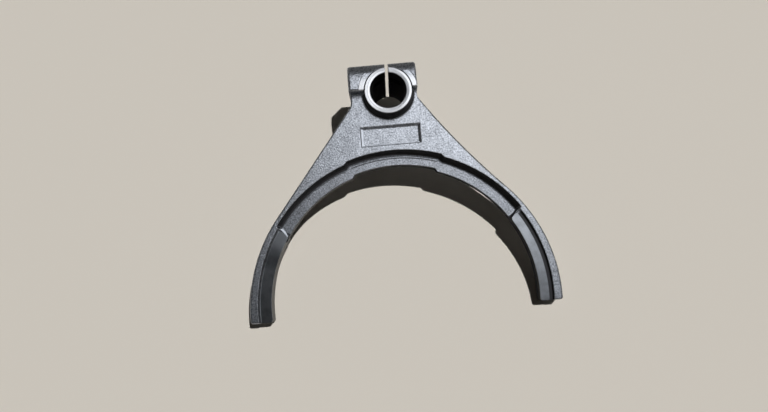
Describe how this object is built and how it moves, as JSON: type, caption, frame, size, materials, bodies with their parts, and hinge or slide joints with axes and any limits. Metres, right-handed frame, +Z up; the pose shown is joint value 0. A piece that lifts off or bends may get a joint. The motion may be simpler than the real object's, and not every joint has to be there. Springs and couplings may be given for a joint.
{
  "type": "shift fork",
  "caption": "Forged steel shift fork with a split clamp hub, a flat web and a half-round arc with raised end pads.",
  "frame": {"origin": "centre of the bounding box at the surface the fork lies on", "axes": "+X across the fork towards its right arm, +Y from the arm tips towards the hub, +Z up from the surface"},
  "size_m": [0.1826, 0.1526, 0.0541],
  "materials": {
    "forged_steel": "shot-blasted grey forging with turned bright faces"
  },
  "bodies": {
    "root": {"shift_fork": "forged_steel"}
  },
  "joints": []
}
